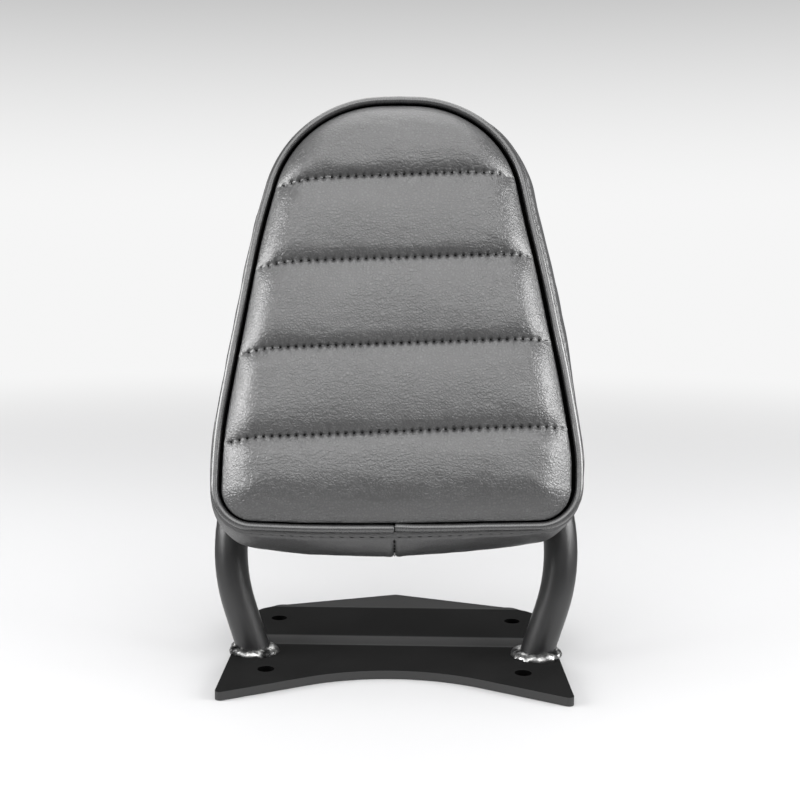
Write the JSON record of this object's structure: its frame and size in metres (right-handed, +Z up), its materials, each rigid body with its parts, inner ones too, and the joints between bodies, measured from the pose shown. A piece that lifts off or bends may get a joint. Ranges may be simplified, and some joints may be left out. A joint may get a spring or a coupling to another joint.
{
  "type": "motorbike passenger backrest",
  "caption": "Padded passenger backrest for a motorbike: rolled vinyl pad with piping on a bent tube hoop, welded to a folded steel base plate with bolt holes.",
  "frame": {"origin": "midpoint of the front pair of bolt holes, on the underside of the base plate", "axes": "+Z up, +Y to the rear, away from the passenger, +X to the left of the seated passenger"},
  "size_m": [0.221, 0.161, 0.339],
  "materials": {
    "black_coating": "satin black powder coat",
    "weld_metal": "bare weld metal",
    "vinyl": "grained dark grey upholstery vinyl",
    "piping_vinyl": "smooth dark grey vinyl",
    "foam": "open cell foam",
    "board": "plywood",
    "backing_sheet": "matt black backing sheet",
    "zinc_steel": "zinc plated"
  },
  "bodies": {
    "root": {"base_plate": "black_coating", "hoop_tube": "black_coating", "foot_weld_left": "weld_metal", "foot_weld_right": "weld_metal", "lower_crossbar": "black_coating", "upper_crossbar": "black_coating", "lower_crossbar_welds": "black_coating", "upper_crossbar_welds": "black_coating", "base_board": "board", "foam_core": "foam", "front_cover": "vinyl", "piping": "piping_vinyl", "side_boxing": "vinyl", "rear_cover": "backing_sheet", "rear_cover_staples": "zinc_steel", "tee_nuts": "zinc_steel", "mounting_screws": "zinc_steel", "washers": "zinc_steel", "lock_washers": "zinc_steel"}
  },
  "joints": []
}
